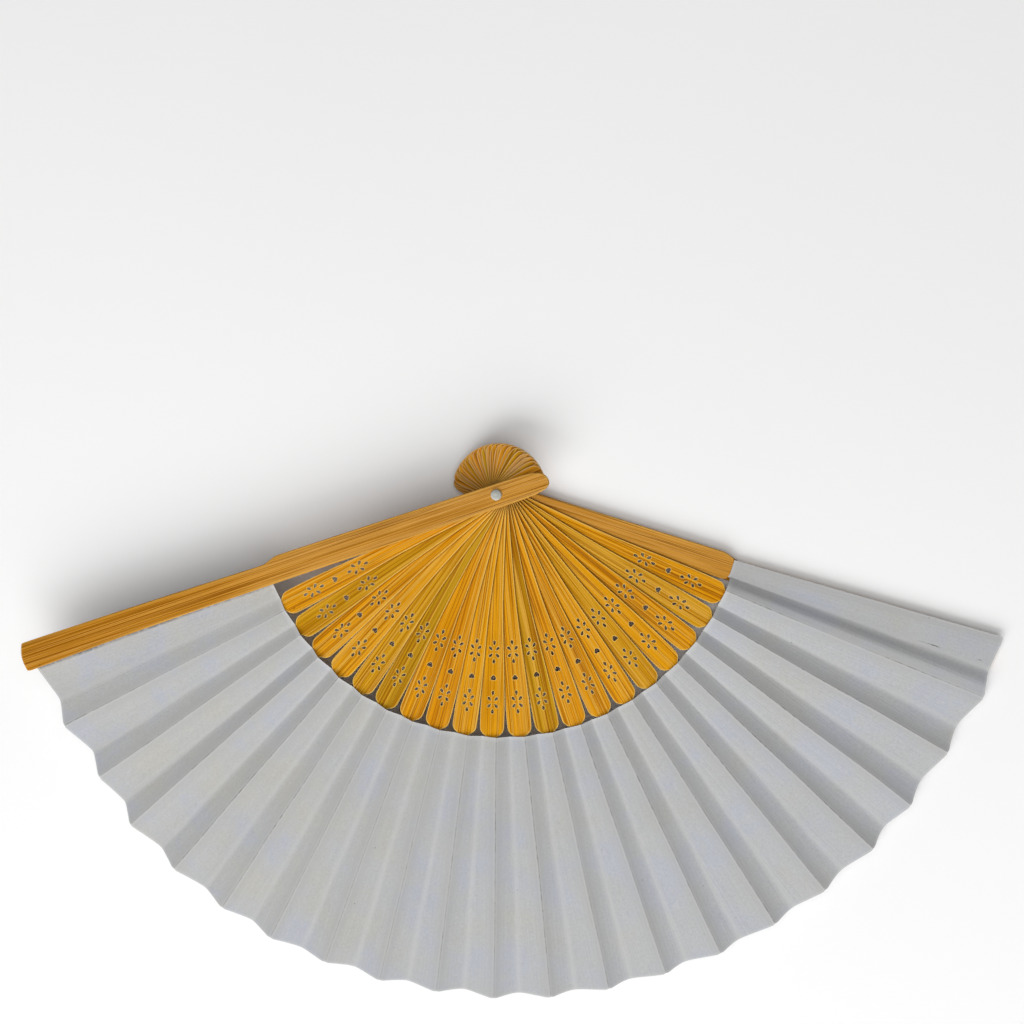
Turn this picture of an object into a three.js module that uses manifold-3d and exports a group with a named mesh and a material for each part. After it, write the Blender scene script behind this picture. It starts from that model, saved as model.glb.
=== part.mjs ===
// Folding fan: two bamboo guards and twenty pierced bamboo ribs that turn on one rivet,
// with a pleated paper leaf glued to the ribs' tongues.
// Millimetres, +Z up. The fan lies open on its back. The rivet's axis is +Z through the origin,
// and z = 0 is the flat end of the rivet's rear head. Angles run counter-clockwise from +X.
import * as THREE from 'three';
import { mergeVertices } from 'three/addons/utils/BufferGeometryUtils.js';
import ManifoldModule from 'manifold-3d';

// ---- sticks -------------------------------------------------------------------------------
const RIBS = 20;               // pierced ribs between the guards
const STEP_DEG = 6.742;        // turn from one stick to the next, fan open
const LAST_STEP_DEG = 8.85;    // turn from the last rib to the front guard
const REAR_DEG = 342.29;       // where the rear guard points

const HEAD_H = 0.9;            // rear rivet head, below the rear guard
const GUARD_T = 2.2;           // guard at the handle
const GUARD_RELIEF = 0.8;      // cut from the guard's inner face where the leaf lies
const RELIEF_R = 87.4;         // the cut starts here
const RIB_T = 0.5;             // rib thickness
const PITCH = 0.62;            // rise from one rib to the next
const STACK_GAP = 0.1;         // rear guard to first rib

const REAR_Z = HEAD_H;                               // rear guard's outer face
const RIB_Z = REAR_Z + GUARD_T + STACK_GAP;          // first rib's lower face
const FRONT_Z = RIB_Z + RIBS * PITCH;                // front guard's inner face

const BORE_R = 1.65;           // hole in every stick
const PIN_R = 1.5;             // rivet shank
const HEAD_R = 2.0;            // rivet heads
const DOME_H = 1.15;           // front head
const FLAT_R = 1.45;           // flat on the rear head

// Half widths of a rib's plate along its length: [distance from the rivet, half width].
const RIB_EDGE = [
  [-18.7, 0.7], [-18.45, 1.7], [-17.9, 2.6], [-16.9, 3.3], [-15.2, 3.7], [-12, 3.7], [-6, 3.3], [0, 3.0], [20, 2.75],
  [37, 2.68], [48, 3], [59, 3.6], [68.6, 4.1], [77.7, 4.45], [84, 4.5], [86.9, 4.45],
];
const RIB_TOP = 90.2;          // end of the plate
const RIB_CORNER = 3.3;        // its corner radius
const FLOWER_AT = [58.3, 77.0];
const HEART_AT = 67.9;
const PETAL_OUT = 3.4;         // petals along the rib
const PETAL_SIDE = 1.25;       // the other four petals
const PETAL_L = 1.7;
const PETAL_W = 0.95;

// Tongue: the thin end of a rib, under the leaf.
const TONGUE_T = 0.25;
const TONGUE_END = 178;
const TONGUE_W = [[84, 3.0], [90, 2.6], [96, 1.9], [108, 1.5], [178, 1.0]];

// Guard outline, + is the side towards the leaf: [distance from the rivet, offset].
const GUARD_LEAF_SIDE = [
  [-19.8, 1.0], [-19.3, 2.6], [-18, 3.6], [-14, 4.45], [-8, 4.72], [0, 4.8], [86, 4.85],
  [140, 5.4], [188.6, 5.95], [189.7, 5.6],
];
const GUARD_OUTER_SIDE = [
  [190.2, 4.2], [190.3, 0], [189.5, -4.2], [140, -3.8], [96, -3.1], [91, -3.0], [89.4, -3.35],
  [85.6, -4.7], [84.2, -4.84], [40, -4.4], [0, -3.9], [-13, -3.8], [-17, -2.9], [-19.2, -1.3],
];

const REAR_SHORTER = 2.6;      // the rear guard ends under the leaf
const REAR_TAIL_SHORTER = 1.4; // and its tail under the ribs' tails

// ---- leaf ---------------------------------------------------------------------------------
const LEAF_T = 0.18;           // paper with its glued backing
const FOLD_GAP = 0.05;         // half the gap between two pleats at a ridge
const RIDGE_AT = 0.18;         // ridge, in steps before a rib
const VALLEY_AT = -0.33;       // valley, in steps after a rib
const IN_RIDGE = 89.8, IN_VALLEY = 89.4;     // inner edge
const OUT_RIDGE = 187.6, OUT_VALLEY = 185.9; // rim
const RIM_RIDGE_AT = { 0: 1.6, 1: 2.2, 19: -2.2, 20: -1 };  // ridges that reach further, or less far
const RIM_VALLEY_AT = { 0: 2, 1: 0.8, 19: -0.8 };
const STATIONS = [0, 0.08, 0.16, 0.5, 1];     // along the leaf
const BELLY = [0, 0.4, 0.75, 1];             // across the rising panel
const GLUE_GAP = 0.12;         // leaf to tongue

// Height of the ridge and the valley over a rib's upper face: inner ridge, rim ridge, inner valley, rim valley.
const FOLD_H = [1.45, 1.0, 0.15, -1.8];
const FOLD_H_AT = {
  1: [1.45, 1.0, 0.15, -1.4],
  18: [1.3, 1.0, 0.15, -1.75],
  19: [1.0, 0.85, 0.15, -1.55],
  20: [0.6, 0.55, 0.15, -1.2],
};

// -------------------------------------------------------------------------------------------
const rad = THREE.MathUtils.degToRad;
const lerp = (a, b, t) => a + (b - a) * t;
const smooth = (t) => { const s = Math.min(1, Math.max(0, t)); return s * s * (3 - 2 * s); };
const table = (rows, x) => {
  for (let i = 1; i < rows.length; i++) {
    if (x <= rows[i][0]) {
      const [x0, y0] = rows[i - 1], [x1, y1] = rows[i];
      return lerp(y0, y1, Math.max(0, (x - x0) / (x1 - x0)));
    }
  }
  return rows[rows.length - 1][1];
};

const stickDeg = (k) => REAR_DEG - STEP_DEG * Math.min(k, RIBS) - (k > RIBS ? LAST_STEP_DEG : 0);
const ribZ = (k) => RIB_Z + (k - 1) * PITCH;

const manifold = await ManifoldModule();
manifold.setup();

function solid(geometry) {
  const g = geometry.clone();
  for (const name of Object.keys(g.attributes)) if (name !== 'position') g.deleteAttribute(name);
  const m = mergeVertices(g, 1e-4);
  return new manifold.Manifold(new manifold.Mesh({
    numProp: 3,
    vertProperties: new Float32Array(m.attributes.position.array),
    triVerts: new Uint32Array(m.index.array),
  }));
}

function geometryOf(body) {
  const mesh = body.getMesh();
  const g = new THREE.BufferGeometry();
  g.setAttribute('position', new THREE.BufferAttribute(new Float32Array(mesh.vertProperties), 3));
  g.setIndex(new THREE.BufferAttribute(new Uint32Array(mesh.triVerts), 1));
  return g;
}

const shapeOf = (points) => new THREE.Shape(points.map(([x, y]) => new THREE.Vector2(x, y)));
const pathOf = (points) => new THREE.Path(points.map(([x, y]) => new THREE.Vector2(x, y)));
const circle = (r, n) => Array.from({ length: n }, (_, i) => {
  const a = (i / n) * Math.PI * 2;
  return [r * Math.cos(a), r * Math.sin(a)];
});

function plate(outline, holes, z0, z1) {
  const s = shapeOf(outline);
  for (const h of holes) s.holes.push(pathOf(h));
  const g = new THREE.ExtrudeGeometry(s, { depth: z1 - z0, bevelEnabled: false, curveSegments: 1 });
  g.translate(0, 0, z0);
  return g;
}

// A closed sheet between an upper and a lower grid of points, [i along][j across].
function sheet(top, bottom) {
  const n = top.length, m = top[0].length, pos = [], idx = [];
  for (const grid of [top, bottom]) for (const row of grid) for (const p of row) pos.push(...p);
  const T = (i, j) => i * m + j, B = (i, j) => n * m + i * m + j;
  const quad = (a, b, c, d) => idx.push(a, b, c, a, c, d);
  for (let i = 0; i + 1 < n; i++) for (let j = 0; j + 1 < m; j++) {
    quad(T(i, j), T(i, j + 1), T(i + 1, j + 1), T(i + 1, j));
    quad(B(i, j), B(i + 1, j), B(i + 1, j + 1), B(i, j + 1));
  }
  for (let i = 0; i + 1 < n; i++) {
    quad(T(i, 0), T(i + 1, 0), B(i + 1, 0), B(i, 0));
    quad(T(i, m - 1), B(i, m - 1), B(i + 1, m - 1), T(i + 1, m - 1));
  }
  for (let j = 0; j + 1 < m; j++) {
    quad(T(0, j), B(0, j), B(0, j + 1), T(0, j + 1));
    quad(T(n - 1, j), T(n - 1, j + 1), B(n - 1, j + 1), B(n - 1, j));
  }
  const g = new THREE.BufferGeometry();
  g.setAttribute('position', new THREE.BufferAttribute(new Float32Array(pos), 3));
  g.setIndex(idx);
  // outward faces: flip if the enclosed volume is negative
  let v = 0;
  const P = (i) => new THREE.Vector3(pos[3 * i], pos[3 * i + 1], pos[3 * i + 2]);
  for (let i = 0; i < idx.length; i += 3) v += P(idx[i]).dot(P(idx[i + 1]).cross(P(idx[i + 2])));
  if (v < 0) for (let i = 0; i < idx.length; i += 3) [idx[i + 1], idx[i + 2]] = [idx[i + 2], idx[i + 1]];
  g.setIndex(idx);
  return g;
}

// ---- the leaf's folds ---------------------------------------------------------------------
// Panel k lies on stick k, from its ridge to its valley. Angles in degrees, heights absolute.
function panel(k) {
  const a = stickDeg(k);
  const rim = { ridgeR: OUT_RIDGE + (RIM_RIDGE_AT[k] || 0), valleyR: OUT_VALLEY + (RIM_VALLEY_AT[k] || 0) };
  if (k === 0) {
    const z = REAR_Z + GUARD_T - GUARD_RELIEF + 0.05 + LEAF_T / 2;
    return { ...rim, ridge: a + 1.95, valley: a - 1.28, z: [z, z, z, z] };
  }
  if (k === RIBS + 1) {
    const z = FRONT_Z + GUARD_RELIEF - 0.05 - LEAF_T / 2;
    return { ...rim, ridge: a + 1.3, valley: a - 0.6, z: [z, z, z, z] };
  }
  const top = ribZ(k) + RIB_T;
  const h = FOLD_H_AT[k] || FOLD_H;
  const valley = k === RIBS ? a - 2.5 : a + VALLEY_AT * STEP_DEG;
  return { ...rim, ridge: a + RIDGE_AT * STEP_DEG, valley, z: h.map((x) => top + x) };
}

const ridgeAt = (p, t) => ({ a: p.ridge, r: lerp(IN_RIDGE, p.ridgeR, t), z: lerp(p.z[0], p.z[1], t) });
const valleyAt = (p, t) => ({ a: p.valley, r: lerp(IN_VALLEY, p.valleyR, t), z: lerp(p.z[2], p.z[3], t) });
const between = (p, q, s, lift = s) => ({ a: lerp(p.a, q.a, s), r: lerp(p.r, q.r, s), z: lerp(p.z, q.z, lift) });
// The rising panel starts flat at the rim and straight at the inner edge.
const belly = (s, t) => lerp(s, Math.pow(s, 1.8), 0.75 * t);
const at = ({ a, r, z }, dz, turn = 0) => {
  const angle = rad(a) + turn / r;
  return [r * Math.cos(angle), r * Math.sin(angle), z + dz];
};

function leafRow(k, t, dz) {
  const p = panel(k);
  const ridge = ridgeAt(p, t), valley = valleyAt(p, t);
  const row = [at(ridge, dz, k > 0 ? -FOLD_GAP : 0), at(valley, dz)];
  if (k <= RIBS) {
    const next = ridgeAt(panel(k + 1), t);
    for (const s of BELLY.slice(1)) {
      row.push(at(between(valley, next, s, belly(s, t)), dz, s === 1 ? FOLD_GAP : 0));
    }
  }
  return row;
}

function leafPiece(k) {
  const grid = (dz) => STATIONS.map((t) => leafRow(k, t, dz));
  return sheet(grid(LEAF_T / 2), grid(-LEAF_T / 2));
}

// ---- ribs ---------------------------------------------------------------------------------
function ribOutline() {
  const side = [...RIB_EDGE];
  const cx = RIB_TOP - RIB_CORNER, cy = side[side.length - 1][1] - RIB_CORNER;
  for (const d of [22.5, 45, 67.5, 90]) {
    side.push([cx + RIB_CORNER * Math.sin(rad(d)), cy + RIB_CORNER * Math.cos(rad(d))]);
  }
  return [...side.map(([x, y]) => [x, -y]), ...side.reverse()];
}

function petal(cx, cy, deg) {
  const c = Math.cos(rad(deg)), s = Math.sin(rad(deg));
  return [[-0.5, 0], [0.08, -0.5], [0.5, 0], [0.08, 0.5]].map(([u, v]) => {
    const x = u * PETAL_L, y = v * PETAL_W;
    return [cx + x * c - y * s, cy + x * s + y * c];
  });
}

function ribHoles() {
  const holes = [circle(BORE_R, 16)];
  for (const r of FLOWER_AT) {
    holes.push(petal(r + PETAL_OUT, 0, 0), petal(r - PETAL_OUT, 0, 180));
    for (const u of [-1, 1]) for (const v of [-1, 1]) {
      holes.push(petal(r + u * PETAL_SIDE, v * PETAL_SIDE, u > 0 ? v * 42 : 180 - v * 42));
    }
  }
  holes.push([[-1.05, 0], [0.25, -0.95], [0.85, -0.6], [0.6, 0], [0.85, 0.6], [0.25, 0.95]]
    .map(([x, y]) => [HEART_AT + x, y]));
  return holes;
}

function tongue(k) {
  const p = panel(k), z0 = ribZ(k), mid = stickDeg(k);
  const rows = { top: [], bottom: [] };
  const stations = [84, 90.4, ...STATIONS.slice(1).map((t) => lerp(89.6, 187, t)).filter((r) => r < TONGUE_END), TONGUE_END];
  for (const r of stations) {
    const t = Math.min(1, Math.max(0, (r - 89.6) / (187 - 89.6)));
    const ridge = ridgeAt(p, t), valley = valleyAt(p, t);
    const drop = ridge.z - valley.z, wide = rad(ridge.a - valley.a) * r;
    const onLeaf = lerp(ridge.z, valley.z, (ridge.a - mid) / (ridge.a - valley.a));
    const go = smooth((r - 90.4) / 14);
    const slope = go * drop / wide;
    const zc = lerp(z0 + RIB_T / 2, onLeaf - LEAF_T / 2 - GLUE_GAP - TONGUE_T / 2, go);
    const w = table(TONGUE_W, r);
    const side = (y, dz) => [r, y, zc + slope * y + dz];
    rows.top.push([side(-w, TONGUE_T / 2), side(w, TONGUE_T / 2)]);
    rows.bottom.push([side(-w, -TONGUE_T / 2), side(w, -TONGUE_T / 2)]);
  }
  return sheet(rows.top, rows.bottom);
}

function rib(k) {
  const body = solid(plate(ribOutline(), ribHoles(), ribZ(k), ribZ(k) + RIB_T));
  const g = geometryOf(body.add(solid(tongue(k))));
  g.rotateZ(rad(stickDeg(k)));
  return g;
}

// ---- guards and rivet ---------------------------------------------------------------------
function guard(front) {
  let outline = [...GUARD_LEAF_SIDE, ...GUARD_OUTER_SIDE];
  if (!front) outline = outline.map(([x, y]) => [x > 150 ? x - REAR_SHORTER : x < -16 ? x + REAR_TAIL_SHORTER : x, -y]);
  const z0 = front ? FRONT_Z : REAR_Z;
  const whole = solid(plate(outline, [circle(BORE_R, 24)], z0, z0 + GUARD_T));
  const cut = new THREE.BoxGeometry(140, 30, 2 * GUARD_RELIEF);
  cut.translate(RELIEF_R + 70, 0, front ? z0 : z0 + GUARD_T);
  const g = geometryOf(whole.subtract(solid(cut)));
  g.rotateZ(rad(stickDeg(front ? RIBS + 1 : 0)));
  return g;
}

function turned(profile, segments) {
  const g = new THREE.LatheGeometry(profile.map(([r, z]) => new THREE.Vector2(r, z)), segments);
  g.rotateX(Math.PI / 2);
  return g;
}

const STACK_TOP = FRONT_Z + GUARD_T;

function rivetPin() {
  const z = STACK_TOP + 0.05;
  return turned([
    [0, HEAD_H - 0.35], [PIN_R, HEAD_H - 0.35], [PIN_R, z], [HEAD_R, z], [HEAD_R, z + 0.3],
    [HEAD_R * 0.86, z + 0.68], [HEAD_R * 0.55, z + 0.98], [0, z + DOME_H],
  ], 24);
}

function rivetCap() {
  const z = HEAD_H - 0.05, seat = HEAD_H - 0.4;
  return turned([
    [0, 0], [FLAT_R, 0], [HEAD_R * 0.9, 0.25], [HEAD_R, 0.55], [HEAD_R, z],
    [PIN_R + 0.06, z], [PIN_R + 0.06, seat], [0, seat],
  ], 24);
}

// ---- assembly -----------------------------------------------------------------------------
const fan = new THREE.Group();
fan.name = 'folding_fan';

function add(name, geometry, colour, roughness) {
  const g = geometry.index ? geometry.toNonIndexed() : geometry;
  for (const n of Object.keys(g.attributes)) if (n !== 'position') g.deleteAttribute(n);
  const clean = mergeVertices(g, 1e-5);
  clean.computeVertexNormals();
  const mesh = new THREE.Mesh(clean, new THREE.MeshStandardMaterial({ color: colour, roughness, metalness: 0 }));
  mesh.name = name;
  fan.add(mesh);
}

const two = (k) => String(k).padStart(2, '0');
const BAMBOO = [0xd9a23a, 0xdd9628, 0xc9932a, 0xe0a548, 0xd68f22];

add('rear_guard', guard(false), 0xcd9a4e, 0.5);
for (let k = 1; k <= RIBS; k++) add(`rib_${two(k)}`, rib(k), BAMBOO[k % BAMBOO.length], 0.5);
add('front_guard', guard(true), 0xc98f3c, 0.5);
add('rivet_pin', rivetPin(), 0xc6c8c2, 0.35);
add('rivet_rear_cap', rivetCap(), 0xc6c8c2, 0.35);
for (let k = 0; k <= RIBS; k++) add(`leaf_pleat_${two(k + 1)}`, leafPiece(k), 0xc9cac8, 0.9);
add('leaf_end_panel', leafPiece(RIBS + 1), 0xc9cac8, 0.9);

export default fan;
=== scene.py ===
import math
import random

import bpy
import numpy as np
from mathutils import Matrix, Vector, noise
from mathutils.geometry import delaunay_2d_cdt


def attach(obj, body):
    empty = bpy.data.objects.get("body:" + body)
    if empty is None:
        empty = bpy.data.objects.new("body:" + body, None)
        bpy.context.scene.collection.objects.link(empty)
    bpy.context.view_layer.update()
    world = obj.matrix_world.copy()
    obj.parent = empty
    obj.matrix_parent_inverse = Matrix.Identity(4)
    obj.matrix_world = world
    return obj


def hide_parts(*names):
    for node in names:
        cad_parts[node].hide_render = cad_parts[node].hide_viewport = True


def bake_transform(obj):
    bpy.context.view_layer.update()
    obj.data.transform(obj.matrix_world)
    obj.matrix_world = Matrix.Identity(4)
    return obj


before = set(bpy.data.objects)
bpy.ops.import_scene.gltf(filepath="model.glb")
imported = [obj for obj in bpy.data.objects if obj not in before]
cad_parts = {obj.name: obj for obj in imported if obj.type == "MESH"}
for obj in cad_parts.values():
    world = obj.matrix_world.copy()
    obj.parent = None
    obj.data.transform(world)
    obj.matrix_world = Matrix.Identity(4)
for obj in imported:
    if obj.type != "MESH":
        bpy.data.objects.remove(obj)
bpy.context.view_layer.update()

# Folding fan. Sizes in millimetres until a mesh is made, then metres.
# The rivet's axis is +Z through the origin, angles run counter-clockwise from +X.
MM = 0.001
RIBS = 20
STEP, LAST_STEP, REAR_DEG = 6.742, 8.85, 342.29
HEAD_H, GUARD_T, RELIEF, RELIEF_R = 0.9, 2.2, 0.8, 87.4
RIB_T, PITCH, STACK_GAP = 0.5, 0.62, 0.1
REAR_Z = HEAD_H
RIB_Z = REAR_Z + GUARD_T + STACK_GAP
FRONT_Z = RIB_Z + RIBS * PITCH
BORE_R, PIN_R, HEAD_R, DOME_H, FLAT_R = 1.65, 1.5, 2.0, 1.15, 1.45

RIB_EDGE = [
    (-18.7, 0.7), (-18.45, 1.7), (-17.9, 2.6), (-16.9, 3.3), (-15.2, 3.7), (-12, 3.7), (-6, 3.3), (0, 3.0), (20, 2.75),
    (37, 2.68), (48, 3.0), (59, 3.6), (68.6, 4.1), (77.7, 4.45), (84, 4.5), (86.4, 4.45),
]
RIB_TOP, RIB_CORNER = 89.7, 3.3
FLOWER_AT, HEART_AT = (58.3, 77.0), 67.9
PETAL_OUT, PETAL_SIDE, PETAL_L, PETAL_W = 3.4, 1.25, 1.75, 1.0
TONGUE_T, TONGUE_END = 0.2, 178.0
REAR_SHORTER, REAR_TAIL_SHORTER = 2.6, 1.4
END_X, END_Y, END_R = 86.1, 1.9, 3.1  # rounded end of the rear guard's plate

GUARD_LEAF_SIDE = [
    (-19.8, 1.0), (-19.3, 2.6), (-18, 3.6), (-14, 4.45), (-8, 4.72), (0, 4.8), (86, 4.85),
    (140, 5.3), (168, 6.1), (186, 6.6), (189.2, 6.75), (190.2, 6.5),
]
GUARD_OUTER_SIDE = [
    (190.6, 5.6), (190.9, 1.8), (190.4, -0.8), (189.5, -3.2), (189.2, -3.9), (188.4, -4.15), (180, -4.1), (140, -3.8), (96, -3.1), (91, -3.0), (89.4, -3.35),
    (85.6, -4.7), (84.2, -4.84), (40, -4.4), (0, -3.9), (-13, -3.8), (-17, -2.9), (-19.2, -1.3),
]

LEAF_T, GLUE_GAP = 0.12, 0.04
RIDGE_AT, VALLEY_AT = 0.18, -0.33
IN_RIDGE, IN_VALLEY, OUT_RIDGE = 90.0, 89.75, 187.6
# Pleat by pleat from the rear guard: radius of each ridge and valley at the rim, how far across the
# pleat the valley lies, and how far each ridge is turned from its even place at the rim (degrees).
RIM_RIDGE = (189.4, 190.0, 187.7, 187.6, 187.9, 187.6, 187.3, 187.6, 187.4, 187.8, 188.0, 188.1, 187.6, 187.9, 187.9, 188.4,
             188.2, 187.9, 187.7, 185.7, 186.9, 187.6)
RIM_VALLEY = (188.1, 185.9, 185.2, 185.4, 185.7, 185.8, 185.9, 185.6, 185.9, 186.2, 186.0, 185.6, 185.8, 186.0, 186.7, 186.4,
              186.2, 185.8, 184.2, 182.8, 184.2, 186.8)
PHASE = (0.57, 0.58, 0.57, 0.57, 0.59, 0.60, 0.61, 0.60, 0.60, 0.57, 0.55, 0.52, 0.50, 0.48, 0.45, 0.42, 0.42, 0.39, 0.38, 0.40, 0.37)
RIM_TURN = (0.0, 0.62, 0.20, -0.22, 0.16, -0.18, -0.30, -0.50, -0.40, -0.38, -0.28, -0.07, 0.06, 0.22, 0.34, 0.23, 0.38, 0.0,
            -0.38, -0.19, -0.70, 0.0)
# Height of the ridges and valleys over a rib's upper face, by rib: inner ridge, rim ridge, inner valley, rim valley.
FOLD_AT = (1, 3, 4, 7, 10, 13, 16, 17, 18, 19, 20)
FOLD_H = (
    (1.65, 1.6, 1.3, 1.0, 0.95, 1.15, 1.4, 1.75, 1.75, 1.25, 0.7),
    (0.8, 0.8, 0.72, 0.65, 0.68, 0.82, 0.9, 1.0, 1.0, 0.85, 0.55),
    (0.15,) * 11,
    (-1.0, -1.0, -0.85, -0.7, -0.7, -0.85, -1.0, -1.4, -1.45, -1.35, -1.1),
)

rng = random.Random(20)


def lerp(a, b, t):
    return a + (b - a) * t


def smooth(t):
    t = np.clip(t, 0.0, 1.0)
    return t * t * (3 - 2 * t)


def stick_deg(k):
    return REAR_DEG - STEP * min(k, RIBS) - (LAST_STEP if k > RIBS else 0)


def rib_z(k):
    return RIB_Z + (k - 1) * PITCH


def step_after(k):
    return LAST_STEP if k == RIBS else STEP


def chaikin(points, rounds):
    p = np.array(points, float)
    for _ in range(rounds):
        n = np.roll(p, -1, axis=0)
        out = np.empty((2 * len(p), 2))
        out[0::2] = 0.75 * p + 0.25 * n
        out[1::2] = 0.25 * p + 0.75 * n
        p = out
    return p


def spread(points, step):
    """Points added so that no side of the closed outline is longer than step."""
    out = []
    n = len(points)
    for i in range(n):
        a, b = np.array(points[i]), np.array(points[(i + 1) % n])
        parts = max(1, int(math.ceil(np.linalg.norm(b - a) / step)))
        for j in range(parts):
            out.append(a + (b - a) * j / parts)
    return np.array(out)


def wound(points, ccw):
    p = np.array(points, float)
    x, y = p[:, 0], p[:, 1]
    area = np.sum(x * np.roll(y, -1) - np.roll(x, -1) * y)
    return p if (area > 0) == ccw else p[::-1]


def into_material(p):
    """For each point of a loop with the material on its left, the way into the material."""
    d1 = p - np.roll(p, 1, axis=0)
    d2 = np.roll(p, -1, axis=0) - p
    d1 /= np.linalg.norm(d1, axis=1)[:, None]
    d2 /= np.linalg.norm(d2, axis=1)[:, None]
    n1 = np.stack([-d1[:, 1], d1[:, 0]], 1)
    n2 = np.stack([-d2[:, 1], d2[:, 0]], 1)
    n = n1 + n2
    n /= np.maximum(np.linalg.norm(n, axis=1), 1e-9)[:, None]
    miter = 1 / np.maximum(0.6, np.sum(n * n1, axis=1))
    return n, n * miter[:, None]


def inside(poly, pts):
    x, y = pts[:, 0], pts[:, 1]
    hit = np.zeros(len(pts), bool)
    n = len(poly)
    for i in range(n):
        x0, y0 = poly[i]
        x1, y1 = poly[(i + 1) % n]
        cross = (y0 > y) != (y1 > y)
        with np.errstate(divide="ignore", invalid="ignore"):
            hit ^= cross & (x < (x1 - x0) * (y - y0) / (y1 - y0) + x0)
    return hit


def mesh_object(name, verts, faces, material, normals=None, attributes=None):
    me = bpy.data.meshes.new(name)
    me.from_pydata((np.array(verts) * MM).tolist(), [], faces)
    me.polygons.foreach_set("use_smooth", [True] * len(me.polygons))
    for key, values in (attributes or {}).items():
        values = np.array(values, np.float32)
        if values.ndim == 1:
            me.attributes.new(key, "FLOAT", "POINT").data.foreach_set("value", values)
        else:
            me.attributes.new(key, "FLOAT_VECTOR", "POINT").data.foreach_set("vector", values.ravel())
    me.materials.append(material)
    if normals is not None:
        me.normals_split_custom_set_from_vertices(np.array(normals, float).tolist())
    me.update()
    ob = bpy.data.objects.new(name, me)
    bpy.context.scene.collection.objects.link(ob)
    return ob


def plate(outline, holes, edge, steps, band, top, bottom, fill):
    """A plate with rounded edges between the heights top(x, y) and bottom(x, y).
    Returns vertices, faces, normals, and which vertices lie on a cut edge (1) or a hole's wall (-1)."""
    loops = [wound(outline, True)] + [wound(h, False) for h in holes]
    verts, faces, normals, near_edge = [], [], [], []

    def slope(f, x, y, sign):
        h = 0.05
        gx = (f(x + h, y) - f(x - h, y)) / (2 * h)
        gy = (f(x, y + h) - f(x, y - h)) / (2 * h)
        n = np.stack([-gx, -gy, np.ones_like(x)], 1)
        n /= np.linalg.norm(n, axis=1)[:, None]
        return n * sign

    def add(x, y, z, n, e):
        start = len(verts)
        verts.extend(np.stack([x, y, z], 1).tolist())
        normals.extend(n.tolist())
        near_edge.extend([e] * len(x))
        return start

    caps = {1: [], -1: []}
    for li, p in enumerate(loops):
        e = edge if li == 0 else min(edge, 0.06)
        wide = band if li == 0 else 0.27
        unit, way = into_material(p)
        rows = []
        m = len(p)
        angles = [math.radians(90 - 90 * j / steps) for j in range(steps + 1)]
        for sign, f in ((1, top), (-1, bottom)):
            ring = []
            q = p + way * (e + wide)
            ring.append((q, f(q[:, 0], q[:, 1]), slope(f, q[:, 0], q[:, 1], sign), 0.0))
            for a in angles:
                q = p + way * e * (1 - math.cos(a))
                z = f(q[:, 0], q[:, 1]) - sign * e * (1 - math.sin(a))
                flat = slope(f, q[:, 0], q[:, 1], sign)
                n = flat * math.sin(a)
                n[:, :2] -= unit * math.cos(a)
                n /= np.linalg.norm(n, axis=1)[:, None]
                ring.append((q, z, n, -1.0 if li and a < 0.1 else 1.0))
            rows.append(ring)
        order = rows[0] + rows[1][::-1]
        starts = [add(q[:, 0], q[:, 1], z, n, v) for q, z, n, v in order]
        for a, b in zip(starts, starts[1:]):
            for i in range(m):
                j = (i + 1) % m
                faces.append((a + i, b + i, b + j, a + j))
        caps[1].append((starts[0], rows[0][0][0]))
        caps[-1].append((starts[-1], rows[1][0][0]))

    rims = [c[1] for c in caps[1]]
    fill = np.array(fill, float).reshape(-1, 2)
    if len(fill):
        keep = inside(rims[0], fill)
        for h in rims[1:]:
            keep &= ~inside(h, fill)
        # keep clear of the loops themselves
        for loop in rims:
            d = np.linalg.norm(fill[:, None, :] - loop[None, :, :], axis=2).min(axis=1)
            keep &= d > 0.3
        fill = fill[keep]
    points = [tuple(x) for loop in rims for x in loop] + [tuple(x) for x in fill]
    edges, at = [], 0
    for loop in rims:
        n = len(loop)
        edges += [(at + i, at + (i + 1) % n) for i in range(n)]
        at += n
    out = delaunay_2d_cdt([Vector(x) for x in points], edges, [], 1, 1e-7)
    co = np.array([tuple(v) for v in out[0]])
    source = [o[0] for o in out[3]]  # no loop crosses another, so each point is one of those given
    tri = np.array(out[2])
    mid = co[tri].mean(axis=1)
    ok = inside(rims[0], mid)
    for h in rims[1:]:
        ok &= ~inside(h, mid)
    tri = tri[ok]
    x, y = (fill[:, 0], fill[:, 1]) if len(fill) else (np.zeros(0), np.zeros(0))
    for sign, f in ((1, top), (-1, bottom)):
        index = []
        for start, loop in caps[sign]:
            index += list(range(start, start + len(loop)))
        s = add(x, y, f(x, y), slope(f, x, y, sign), 0.0) if len(fill) else 0
        index += list(range(s, s + len(fill)))
        for a, b, c in tri:
            t = [index[source[a]], index[source[b]], index[source[c]]]
            pa, pb, pc = (np.array(verts[i][:2]) for i in t)
            up = (pb[0] - pa[0]) * (pc[1] - pa[1]) - (pb[1] - pa[1]) * (pc[0] - pa[0]) > 0
            faces.append(tuple(t if up == (sign > 0) else t[::-1]))
    return np.array(verts), faces, np.array(normals), np.array(near_edge)


def turn_z(v, deg):
    a = math.radians(deg)
    c, s = math.cos(a), math.sin(a)
    out = np.array(v, float)
    out[:, 0], out[:, 1] = c * v[:, 0] - s * v[:, 1], s * v[:, 0] + c * v[:, 1]
    return out


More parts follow.
